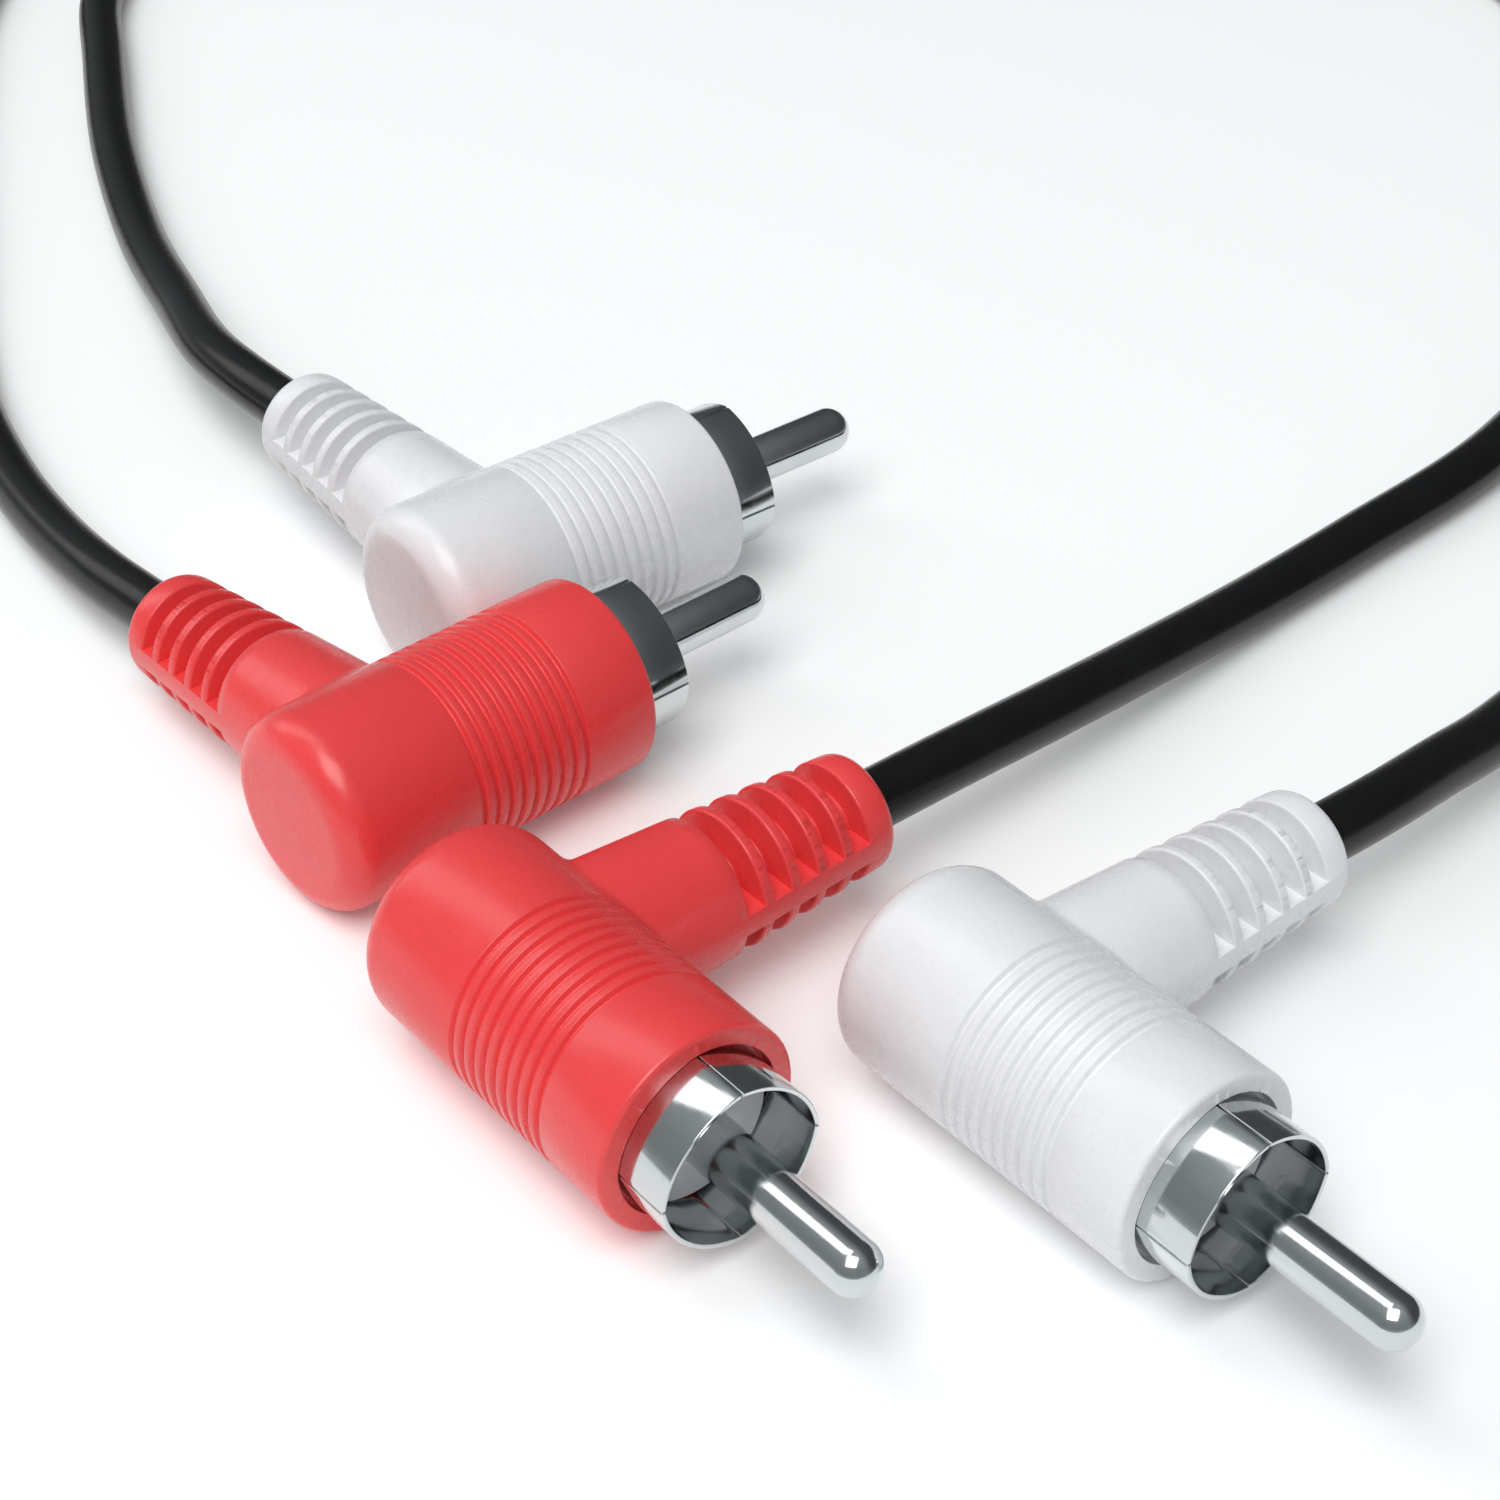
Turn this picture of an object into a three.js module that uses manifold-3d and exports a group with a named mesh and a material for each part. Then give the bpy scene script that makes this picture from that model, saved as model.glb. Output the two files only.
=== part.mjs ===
// Stereo RCA patch cable: two black round cords, each with a moulded right-angle plug at both ends.
// Millimetres, +Z up. The origin is on the floor, below the middle of the four plugs.
//
// Every plug has its own frame: the origin is where the axis of the round body crosses the axis
// of the boot, +X runs forward to the contact pin and +Y runs along the boot to the cord.

import * as THREE from 'three';
import { mergeVertices } from 'three/addons/utils/BufferGeometryUtils.js';
import Module from 'manifold-3d';

const wasm = await Module();
wasm.setup();

// Driving dimensions, all in millimetres.
const CLEARANCE = 0.3; // between pieces that touch on the real cable
const CONTACT_DIAMETER = 3.175; // the pin that goes into the jack
const CONTACT_REACH = 13.9; // tip of the pin beyond the front face of the moulding
const BODY_RADIUS = 6.4;
const BODY_REAR = -7.4; // flat rear end of the body
const BODY_FRONT = 15.3; // front face of the body
const REAR_ROUNDING = 2.0;
const FRONT_ROUNDING = 0.3;

const GRIP_GROOVES = 9;
const FIRST_GROOVE = 2.1;
const GROOVE_PITCH = 0.965;
const GROOVE_WIDTH = 0.5;
const GROOVE_DEPTH = 0.28;

const BOOT_END = 24.05; // end of the boot from the body's axis
const BOOT_ROOT_STATION = 6.4;
const BOOT_ROOT_RADIUS = 4.73;
const BOOT_END_RADIUS = 3.65;
const BOOT_END_ROUNDING = 0.75;
const BOOT_SLOTS = 5;
const FIRST_SLOT = 12.3; // wall nearest to the body
const SLOT_PITCH = 2.05;
const SLOT_WIDTH = 1.3;
const SPINE_HALF_HEIGHT = 0.7; // solid spine left along both sides of the boot
const BOOT_CORE_RADIUS = 2.1;

const COLLAR_PETALS = 4;
const COLLAR_REACH = 3.6; // petals beyond the front face
const COLLAR_CORNER_RADIUS = 5.2; // outside radius of the collar at a slit
const PETAL_OUTER_RADIUS = 6.14; // each petal is bent flatter than a circle about the pin
const SHEET = 0.4; // thickness of the collar's metal
const SLIT_WIDTH = 0.2;
const BARREL_RADIUS = 3.8; // tube behind the collar that grips the insulator
const BARREL_REAR = 9.5;
const TAG_WIDTH = 3.0; // solder tag that reaches back to the cable's shield
const TAG_REAR = 2.2;

const SHANK_RADIUS = 1.0; // pin where it passes through the insulator
const PIN_REAR = 7.4;
const SOLDER_CUP_RADIUS = 0.7;
const SOLDER_CUP_DEPTH = 2.0;
const INSULATOR_REAR = 9.2;
const INSULATOR_FRONT = 15.5;

const DIELECTRIC_RADIUS = 0.65;
const CONDUCTOR_RADIUS = 0.3;
const CORE_BEND = 2.6; // radius of the turn from the boot to the pin
const STRIPPED_GAP = 1.0; // bare conductor between the insulation and the solder cup
const CORE_STEPS = 14;
const BRAID_OUTER_RADIUS = 1.2;
const BRAID_INNER_RADIUS = 0.95;
const BRAID_START = 2.9;

const CORD_DIAMETER = 3.8;
const CORD_STEPS = 38;
const CORD_SIDES = 8;

// Where the four plugs lie: the crossing of their axes on the floor plan, the heading of the pin
// and the roll about the body's own axis, in degrees. All of them rest on the floor.
const PLUGS = [
  { name: 'white_front', colour: 'white', x: 16.4, y: -20.6, heading: -50.4, roll: 0 },
  { name: 'red_front', colour: 'red', x: -9.5, y: -17.1, heading: -50.8, roll: 0 },
  { name: 'red_back', colour: 'red', x: -18.5, y: 1.4, heading: 41.6, roll: -4.3 },
  { name: 'white_back', colour: 'white', x: -13.5, y: 23.2, heading: 38.7, roll: 0 },
];

// Centrelines of the two cords, from the back plug to the front plug. They sink from the boots to
// the floor, run in two wide loops and pass once, the white one in a long low hump over the red.
const RED_ROUTE = [
  [-34.6, 19.6, 4.6], [-40.2, 26.2, 3.8], [-44.6, 32.6, 2.9], [-49.2, 40.6, 2.2],
  [-53.9, 50.9, 1.95], [-57.6, 62.8, 1.95], [-61.2, 79.0, 1.95], [-65.5, 100.0, 1.95],
  [-68.6, 123.0, 1.95], [-67.0, 141.0, 1.95], [-59.2, 157.2, 1.95], [-45.4, 169.8, 1.95],
  [-27.6, 176.0, 1.95], [-7.8, 176.5, 1.95], [12.6, 173.0, 1.95], [34.2, 163.4, 1.95],
  [54.8, 151.4, 1.95], [69.6, 136.4, 1.95], [76.2, 117.6, 1.95], [76.2, 93.4, 1.95],
  [69.6, 67.4, 1.95], [56.6, 45.9, 1.95], [43.9, 33.1, 1.95], [36.0, 25.3, 2.3],
  [28.4, 17.2, 3.6], [21.4, 9.6, 5.1], [14.8, 3.1, 6.1], [9.4, -1.7, 6.4],
];
const WHITE_ROUTE = [
  [-28.7, 42.2, 6.4], [-33.2, 47.8, 6.1], [-36.9, 53.8, 5.3], [-40.9, 63.8, 3.8],
  [-45.7, 76.4, 2.3], [-50.7, 93.0, 1.95], [-54.5, 110.7, 1.95], [-56.8, 123.6, 1.95],
  [-56.1, 137.0, 1.95], [-50.7, 148.7, 1.95], [-38.4, 157.2, 1.95], [-18.6, 160.8, 2.2],
  [1.8, 166.0, 4.8], [15.8, 173.2, 6.4], [29.8, 180.8, 4.8], [46.8, 186.0, 2.3],
  [66.0, 184.2, 1.95], [83.4, 170.8, 1.95], [93.2, 148.4, 1.95], [94.8, 121.8, 1.95],
  [92.8, 95.4, 1.95], [85.6, 69.2, 1.95], [73.6, 45.2, 1.95], [61.8, 25.4, 2.3],
  [48.9, 8.1, 4.7], [44.3, 3.2, 5.6], [40.0, -1.1, 6.2], [35.2, -5.1, 6.4],
];

const BODY_SEGMENTS = 20;
const SMALL_SEGMENTS = 12;
const PIN_SEGMENTS = 16;
const ARC_STEPS = 2; // straight pieces in the arc of a petal
const REAR_STEPS = 4; // straight pieces in the rounding of the body's rear end
const BOOT_STEPS = 3;
const TIP_STEPS = 5;
const CUT_MARGIN = 1; // cutting tools reach this far past the faces that they open

const RED_PLASTIC = new THREE.MeshStandardMaterial({ color: 0xe04a4c, roughness: 0.45, metalness: 0 });
const WHITE_PLASTIC = new THREE.MeshStandardMaterial({ color: 0xe6e8ea, roughness: 0.45, metalness: 0 });
const BLACK_JACKET = new THREE.MeshStandardMaterial({ color: 0x1c1c1e, roughness: 0.5, metalness: 0 });
const NICKEL = new THREE.MeshStandardMaterial({ color: 0xc9cdd0, roughness: 0.15, metalness: 1 });
const DARK_PLASTIC = new THREE.MeshStandardMaterial({ color: 0x2b2c2f, roughness: 0.6, metalness: 0 });
const COPPER = new THREE.MeshStandardMaterial({ color: 0xb87348, roughness: 0.4, metalness: 1 });
const CLEAR_CORE = new THREE.MeshStandardMaterial({ color: 0xd9d6cc, roughness: 0.5, metalness: 0 });

/** Turns a closed geometry into a solid that can be joined and cut. */
function solid(geometry) {
  const bare = geometry.clone();
  bare.deleteAttribute('normal');
  bare.deleteAttribute('uv');
  const merged = mergeVertices(bare, 1e-5);
  return new wasm.Manifold(new wasm.Mesh({
    numProp: 3,
    vertProperties: new Float32Array(merged.attributes.position.array),
    triVerts: new Uint32Array(merged.index.array),
  }));
}

/** Gives a solid back as a geometry with flat-shaded normals. */
function toGeometry(shape) {
  const mesh = shape.getMesh();
  const geometry = new THREE.BufferGeometry();
  geometry.setAttribute('position', new THREE.BufferAttribute(new Float32Array(mesh.vertProperties), 3));
  geometry.setIndex(new THREE.BufferAttribute(new Uint32Array(mesh.triVerts), 1));
  geometry.computeVertexNormals();
  return geometry;
}

/** Spins a profile of [station, radius] pairs, in order of rising station, about the plug's X axis. */
function spunAboutX(profile, segments) {
  // The lathe's own axis is Y, so a quarter turn lays it along +X.
  return spunAboutY(profile, segments).rotateZ(-Math.PI / 2);
}

/** Spins a profile of [station, radius] pairs about the plug's Y axis. */
function spunAboutY(profile, segments) {
  const points = profile.map(([station, radius]) => new THREE.Vector2(radius, station));
  return new THREE.LatheGeometry(points, segments);
}

/** A plain rod along X or Y between two stations. */
function rod(spin, from, to, radius, segments) {
  return solid(spin([[from, 0], [from, radius], [to, radius], [to, 0]], segments));
}

/** Quarter circle of [station, radius] pairs, swept between two angles. */
function roundedEdge(station, radius, rounding, fromAngle, toAngle, steps) {
  return Array.from({ length: steps + 1 }, (_, index) => {
    const angle = fromAngle + ((toAngle - fromAngle) * index) / steps;
    return [station + rounding * Math.cos(angle), radius + rounding * Math.sin(angle)];
  });
}

/** A flat outline in the plane across the pin, stretched along X between two stations. */
function plateAcrossX(shape, from, to) {
  const settings = { depth: to - from, bevelEnabled: false, curveSegments: ARC_STEPS };
  const geometry = new THREE.ExtrudeGeometry(shape, settings);
  // The outline's own x and y become the plug's Y and Z, and its depth becomes X.
  const turn = new THREE.Matrix4().makeBasis(
    new THREE.Vector3(0, 1, 0),
    new THREE.Vector3(0, 0, 1),
    new THREE.Vector3(1, 0, 0),
  );
  return solid(geometry.applyMatrix4(turn).translate(from, 0, 0));
}

/** Round body with nine fine grip grooves, a rounded rear end and a flat front face. */
function bodySolid() {
  const profile = [[BODY_REAR, 0]];
  profile.push(...roundedEdge(
    BODY_REAR + REAR_ROUNDING, BODY_RADIUS - REAR_ROUNDING, REAR_ROUNDING, Math.PI, Math.PI / 2, REAR_STEPS,
  ));
  for (let groove = 0; groove < GRIP_GROOVES; groove += 1) {
    const middle = FIRST_GROOVE + groove * GROOVE_PITCH;
    profile.push([middle - GROOVE_WIDTH / 2, BODY_RADIUS]);
    profile.push([middle, BODY_RADIUS - GROOVE_DEPTH]);
    profile.push([middle + GROOVE_WIDTH / 2, BODY_RADIUS]);
  }
  profile.push([BODY_FRONT - FRONT_ROUNDING, BODY_RADIUS]);
  profile.push([BODY_FRONT, BODY_RADIUS - FRONT_ROUNDING]);
  profile.push([BODY_FRONT, 0]);
  return solid(spunAboutX(profile, BODY_SEGMENTS));
}

/** Tapered strain relief boot: slots from above and below leave rings on a core and a flat spine. */
function bootSolid() {
  const taper = (BOOT_END_RADIUS - BOOT_ROOT_RADIUS) / (BOOT_END - BOOT_ROOT_STATION);
  const rootRadius = BOOT_ROOT_RADIUS - taper * BOOT_ROOT_STATION;
  const profile = [[0, 0], [0, rootRadius]];
  profile.push(...roundedEdge(
    BOOT_END - BOOT_END_ROUNDING, BOOT_END_RADIUS - BOOT_END_ROUNDING, BOOT_END_ROUNDING, Math.PI / 2, 0,
    BOOT_STEPS,
  ));
  profile.push([BOOT_END, 0]);
  let boot = solid(spunAboutY(profile, BODY_SEGMENTS));
  const core = rod(spunAboutY, 0, BOOT_END, BOOT_CORE_RADIUS, SMALL_SEGMENTS);
  const slotHeight = 2 * BOOT_ROOT_RADIUS;
  for (let slot = 0; slot < BOOT_SLOTS; slot += 1) {
    for (const side of [-1, 1]) {
      const box = new THREE.BoxGeometry(2 * slotHeight, SLOT_WIDTH, slotHeight);
      box.translate(
        0,
        FIRST_SLOT + slot * SLOT_PITCH + SLOT_WIDTH / 2,
        side * (SPINE_HALF_HEIGHT + slotHeight / 2),
      );
      boot = boot.subtract(solid(box).subtract(core));
    }
  }
  return boot;
}

/** One moulding: body and boot, bored for the shell's barrel and for the cable's core and shield. */
function overmould() {
  const mouth = BODY_FRONT + CUT_MARGIN;
  const barrelRoom = BARREL_RADIUS + CLEARANCE;
  const collarRoom = COLLAR_CORNER_RADIUS + CLEARANCE;
  const recessFloor = BODY_FRONT - SHEET - CLEARANCE;
  const cableRoom = BRAID_OUTER_RADIUS + CLEARANCE;
  return toGeometry(
    bodySolid()
      .add(bootSolid())
      .subtract(rod(spunAboutX, -BRAID_OUTER_RADIUS, mouth, barrelRoom, SMALL_SEGMENTS))
      .subtract(rod(spunAboutX, recessFloor, mouth, collarRoom, BODY_SEGMENTS))
      .subtract(rod(spunAboutY, 0, BOOT_END + CUT_MARGIN, cableRoom, SMALL_SEGMENTS)),
  );
}

/** Where one petal of the collar bends: the centre of its arc, its middle angle and half its sweep. */
function petalArc(quarter) {
  // The arc's centre lies on the far side of the pin, so the collar is widest at its slits.
  const halfWidth = COLLAR_CORNER_RADIUS * Math.SQRT1_2;
  const offset = Math.sqrt(PETAL_OUTER_RADIUS ** 2 - halfWidth ** 2) - halfWidth;
  const middle = (quarter + 0.5) * (Math.PI / 2);
  return {
    x: -offset * Math.cos(middle),
    y: -offset * Math.sin(middle),
    middle,
    sweep: Math.asin(halfWidth / PETAL_OUTER_RADIUS),
  };
}

/** Outline of one petal across the pin, between two slits. */
function petalOutline(quarter) {
  const { x, y, middle, sweep } = petalArc(quarter);
  const spread = sweep - SLIT_WIDTH / (2 * Math.SQRT2 * PETAL_OUTER_RADIUS);
  const outline = new THREE.Shape();
  outline.absarc(x, y, PETAL_OUTER_RADIUS, middle - spread, middle + spread, false);
  outline.absarc(x, y, PETAL_OUTER_RADIUS - SHEET, middle + spread, middle - spread, true);
  outline.closePath();
  return outline;
}

/** Outline of the collar's foot, where the four petals meet. */
function footOutline() {
  const outline = new THREE.Shape();
  for (let quarter = 0; quarter < COLLAR_PETALS; quarter += 1) {
    const { x, y, middle, sweep } = petalArc(quarter);
    outline.absarc(x, y, PETAL_OUTER_RADIUS, middle - sweep, middle + sweep, false);
  }
  return outline;
}

/** Sheet metal ground contact: four sprung petals on a flat foot, a barrel and a solder tag. */
function groundShell() {
  const foot = BODY_FRONT - SHEET;
  let shell = plateAcrossX(footOutline(), foot, BODY_FRONT);
  for (let quarter = 0; quarter < COLLAR_PETALS; quarter += 1) {
    shell = shell.add(plateAcrossX(petalOutline(quarter), foot, BODY_FRONT + COLLAR_REACH));
  }
  shell = shell.add(rod(spunAboutX, BARREL_REAR, BODY_FRONT, BARREL_RADIUS, SMALL_SEGMENTS));
  // The tag is a flat strip whose root is curved with the barrel's bore.
  const tagRoot = BARREL_REAR + CUT_MARGIN;
  const tag = new THREE.BoxGeometry(tagRoot - TAG_REAR, SHEET, TAG_WIDTH);
  tag.translate((tagRoot + TAG_REAR) / 2, BARREL_RADIUS - SHEET, 0);
  const bore = rod(
    spunAboutX, TAG_REAR - CUT_MARGIN, BODY_FRONT + CUT_MARGIN, BARREL_RADIUS - SHEET, SMALL_SEGMENTS,
  );
  return toGeometry(shell.add(solid(tag)).subtract(bore));
}

/** Dark plastic bush that holds the pin in the middle of the barrel. */
function insulator() {
  const outer = BARREL_RADIUS - SHEET - CLEARANCE;
  const bore = SHANK_RADIUS + CLEARANCE;
  return spunAboutX([
    [INSULATOR_REAR, bore], [INSULATOR_REAR, outer], [INSULATOR_FRONT, outer],
    [INSULATOR_FRONT, bore], [INSULATOR_REAR, bore],
  ], SMALL_SEGMENTS);
}

/** Contact pin with a round tip, a thinner shank and a solder cup behind. */
function centrePin() {
  const radius = CONTACT_DIAMETER / 2;
  const shoulder = INSULATOR_FRONT + CLEARANCE;
  const tip = BODY_FRONT + CONTACT_REACH;
  const profile = [
    [PIN_REAR + SOLDER_CUP_DEPTH, 0], [PIN_REAR + SOLDER_CUP_DEPTH, SOLDER_CUP_RADIUS],
    [PIN_REAR, SOLDER_CUP_RADIUS], [PIN_REAR, SHANK_RADIUS],
    [shoulder, SHANK_RADIUS], [shoulder, radius],
  ];
  profile.push(...roundedEdge(tip - radius, 0, radius, Math.PI / 2, 0, TIP_STEPS).slice(0, -1));
  profile.push([tip, 0]);
  return spunAboutX(profile, PIN_SEGMENTS);
}

/** A round rod along a curve, with flat closed ends. */
function tube(curve, radius, sides, steps) {
  const section = new THREE.Shape();
  for (let side = 0; side < sides; side += 1) {
    const angle = (side / sides) * 2 * Math.PI;
    const corner = [radius * Math.cos(angle), radius * Math.sin(angle)];
    if (side === 0) section.moveTo(...corner);
    else section.lineTo(...corner);
  }
  section.closePath();
  return new THREE.ExtrudeGeometry(section, { steps, bevelEnabled: false, extrudePath: curve });
}

/** Stripped core of the cable: insulated to the bend, bare where it enters the pin's solder cup. */
function coreWire() {
  const bareFrom = PIN_REAR - STRIPPED_GAP;
  const path = new THREE.CurvePath();
  const start = new THREE.Vector3(0, BOOT_END - CLEARANCE, 0);
  const bendStart = new THREE.Vector3(0, CORE_BEND, 0);
  const bendEnd = new THREE.Vector3(CORE_BEND, 0, 0);
  path.add(new THREE.LineCurve3(start, bendStart));
  path.add(new THREE.QuadraticBezierCurve3(bendStart, new THREE.Vector3(), bendEnd));
  path.add(new THREE.LineCurve3(bendEnd, new THREE.Vector3(bareFrom, 0, 0)));
  const insulated = solid(tube(path, DIELECTRIC_RADIUS, CORD_SIDES, CORE_STEPS));
  const bareTo = PIN_REAR + SOLDER_CUP_DEPTH - CLEARANCE;
  const bare = rod(spunAboutX, bareFrom - STRIPPED_GAP, bareTo, CONDUCTOR_RADIUS, CORD_SIDES);
  return toGeometry(insulated.add(bare));
}

/** Braided shield that stays round the core inside the boot and ends beside the solder tag. */
function shieldBraid() {
  return spunAboutY([
    [BRAID_START, BRAID_INNER_RADIUS], [BRAID_START, BRAID_OUTER_RADIUS],
    [BOOT_END - CLEARANCE, BRAID_OUTER_RADIUS], [BOOT_END - CLEARANCE, BRAID_INNER_RADIUS],
    [BRAID_START, BRAID_INNER_RADIUS],
  ], SMALL_SEGMENTS);
}

/** Adds one named piece to a group. */
function addPiece(group, name, geometry, material) {
  const mesh = new THREE.Mesh(geometry, material);
  mesh.name = name;
  group.add(mesh);
}

/** One whole plug with its six pieces, laid on the floor where it belongs. */
function plug({ name, colour, x, y, heading, roll }) {
  const group = new THREE.Group();
  group.position.set(x, y, BODY_RADIUS);
  group.rotation.set(THREE.MathUtils.degToRad(roll), 0, THREE.MathUtils.degToRad(heading), 'ZYX');
  addPiece(group, `${name}_overmould`, overmould(), colour === 'red' ? RED_PLASTIC : WHITE_PLASTIC);
  addPiece(group, `${name}_ground_shell`, groundShell(), NICKEL);
  addPiece(group, `${name}_insulator`, insulator(), DARK_PLASTIC);
  addPiece(group, `${name}_centre_pin`, centrePin(), NICKEL);
  addPiece(group, `${name}_core_wire`, coreWire(), CLEAR_CORE);
  addPiece(group, `${name}_shield_braid`, shieldBraid(), COPPER);
  return group;
}

/** A cord from one boot to the other, as a plain round tube along its route. */
function cord(route) {
  const points = route.map((point) => new THREE.Vector3(...point));
  const curve = new THREE.CatmullRomCurve3(points, false, 'centripetal');
  return tube(curve, CORD_DIAMETER / 2, CORD_SIDES, CORD_STEPS);
}

const cable = new THREE.Group();
for (const placing of PLUGS) cable.add(plug(placing));
addPiece(cable, 'red_cord', cord(RED_ROUTE), BLACK_JACKET);
addPiece(cable, 'white_cord', cord(WHITE_ROUTE), BLACK_JACKET);

export default cable;
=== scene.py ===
"""Fine look of a stereo phono patch cable: four moulded right-angle plugs on two black cords.

Every plug is built once in its own frame, where the origin is the crossing of the body's axis
and the boot's axis, +X runs forward to the contact pin and +Y runs along the boot to the cord.
It is then copied to the four places where the plugs lie. Lengths are in metres.
"""

import logging
import math
from collections.abc import Sequence
from dataclasses import dataclass, field
from enum import Enum

import bmesh
import bpy
from mathutils import Euler, Matrix, Vector

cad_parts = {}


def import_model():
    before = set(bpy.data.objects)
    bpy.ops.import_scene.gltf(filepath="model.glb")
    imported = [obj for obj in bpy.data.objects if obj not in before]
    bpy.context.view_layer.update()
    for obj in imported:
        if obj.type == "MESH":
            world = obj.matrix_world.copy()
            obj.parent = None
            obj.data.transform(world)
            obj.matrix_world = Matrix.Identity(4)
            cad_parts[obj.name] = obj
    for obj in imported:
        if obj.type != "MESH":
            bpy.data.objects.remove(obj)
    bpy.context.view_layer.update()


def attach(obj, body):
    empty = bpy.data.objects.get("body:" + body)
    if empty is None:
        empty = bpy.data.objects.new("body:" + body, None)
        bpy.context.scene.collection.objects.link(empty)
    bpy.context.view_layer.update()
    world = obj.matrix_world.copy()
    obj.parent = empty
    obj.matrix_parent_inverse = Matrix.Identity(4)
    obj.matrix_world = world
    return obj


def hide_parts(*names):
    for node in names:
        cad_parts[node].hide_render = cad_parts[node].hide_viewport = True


LOG = logging.getLogger("patch_cable")
MM = 0.001
WELD = 1e-7
BODY = "root"
OWN_PLACE = "own_place"

Row = tuple[float, float]
Point = tuple[float, float, float]


class Channel(Enum):
    """The two sides of the stereo cable, with the record slot of each moulding."""

    RED = "red_plastic"
    WHITE = "white_plastic"


class Axis(Enum):
    """The two axes of a plug that its turned shapes are spun about."""

    PIN = (1.0, 0.0, 0.0)
    BOOT = (0.0, 1.0, 0.0)


@dataclass(frozen=True)
class PlugShape:
    """Driving dimensions of one plug: the solid model's own, and the finer ones of the dressed pieces."""

    body_radius: float = 6.4 * MM
    body_rear: float = -7.4 * MM
    body_front: float = 15.3 * MM
    rear_rounding: float = 2.0 * MM
    front_rounding: float = 0.3 * MM
    grooves: int = 9
    first_groove: float = 2.1 * MM
    groove_pitch: float = 0.965 * MM
    groove_width: float = 0.5 * MM
    groove_floor: float = 0.27 * MM
    groove_depth: float = 0.33 * MM
    groove_lip_rounding: float = 0.04 * MM
    groove_floor_rounding: float = 0.05 * MM
    boot_end: float = 24.05 * MM
    boot_root_station: float = 6.4 * MM
    boot_root_radius: float = 4.73 * MM
    boot_end_radius: float = 3.65 * MM
    boot_end_rounding: float = 0.75 * MM
    boot_root_fillet: float = 0.4 * MM
    boot_flare: float = 0.2 * MM
    slots: int = 5
    first_slot: float = 12.3 * MM
    slot_pitch: float = 2.05 * MM
    slot_width: float = 1.3 * MM
    slot_lip_rounding: float = 0.2 * MM
    slot_floor_rounding: float = 0.12 * MM
    spine_half_height: float = 0.7 * MM
    boot_core_radius: float = 2.1 * MM
    cable_room: float = 1.5 * MM
    cable_mouth: float = 1.94 * MM
    cable_mouth_depth: float = 1.0 * MM
    recess_depth: float = 0.8 * MM
    recess_gap: float = 0.03 * MM
    collar_reach: float = 3.6 * MM
    collar_corner_radius: float = 5.2 * MM
    petal_radius: float = 6.14 * MM
    petals: int = 4
    sheet: float = 0.28 * MM
    slit_width: float = 0.18 * MM
    barrel_radius: float = 3.8 * MM
    barrel_bore: float = 3.4 * MM
    barrel_rear: float = 9.5 * MM
    tag_rear: float = 2.2 * MM
    tag_width: float = 2.2 * MM
    insulator_radius: float = 3.1 * MM
    insulator_rear: float = 9.2 * MM
    insulator_front: float = 15.45 * MM
    flange_radius: float = 4.55 * MM
    flange_thickness: float = 0.35 * MM
    pin_radius: float = 3.175 / 2 * MM
    pin_reach: float = 13.9 * MM
    pin_rear: float = 7.4 * MM
    shank_radius: float = 1.0 * MM
    solder_cup_radius: float = 0.7 * MM
    solder_cup_depth: float = 2.0 * MM
    cord_radius: float = 1.9 * MM


@dataclass(frozen=True)
class Placing:
    """Where one plug lies: axis crossing on the floor plan, pin heading and roll in degrees."""

    name: str
    channel: Channel
    x: float
    y: float
    heading: float
    roll: float = 0.0

    def matrix(self, height: float) -> Matrix:
        """Gives the plug's place in the room.

        Args:
            height: Height of the body's axis over the floor.

        Returns:
            The matrix that takes the plug's own frame to the room's.
        """
        turn = Euler((math.radians(self.roll), 0.0, math.radians(self.heading)), "XYZ")
        return Matrix.Translation((self.x, self.y, height)) @ turn.to_matrix().to_4x4()


PLACINGS = (
    Placing("white_front", Channel.WHITE, 0.0164, -0.0206, -50.4),
    Placing("red_front", Channel.RED, -0.0095, -0.0171, -50.8),
    Placing("red_back", Channel.RED, -0.0185, 0.0014, 41.6, -4.3),
    Placing("white_back", Channel.WHITE, -0.0135, 0.0232, 38.7),
)

# Centrelines of the two cords in metres, from the back plug to the front plug.
RED_ROUTE = (
    (-0.0346, 0.0196, 0.0046), (-0.0402, 0.0262, 0.0038), (-0.0446, 0.0326, 0.0029),
    (-0.0492, 0.0406, 0.0022), (-0.0539, 0.0509, 0.00195), (-0.0576, 0.0628, 0.00195),
    (-0.0612, 0.0790, 0.00195), (-0.0655, 0.1000, 0.00195), (-0.0686, 0.1230, 0.00195),
    (-0.0670, 0.1410, 0.00195), (-0.0592, 0.1572, 0.00195), (-0.0454, 0.1698, 0.00195),
    (-0.0276, 0.1760, 0.00195), (-0.0078, 0.1765, 0.00195), (0.0126, 0.1730, 0.00195),
    (0.0342, 0.1634, 0.00195), (0.0548, 0.1514, 0.00195), (0.0696, 0.1364, 0.00195),
    (0.0762, 0.1176, 0.00195), (0.0762, 0.0934, 0.00195), (0.0696, 0.0674, 0.00195),
    (0.0566, 0.0459, 0.00195), (0.0439, 0.0331, 0.00195), (0.0360, 0.0253, 0.0023),
    (0.0284, 0.0172, 0.0036), (0.0214, 0.0096, 0.0051), (0.0148, 0.0031, 0.0061),
    (0.0094, -0.0017, 0.0064),
)
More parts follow.
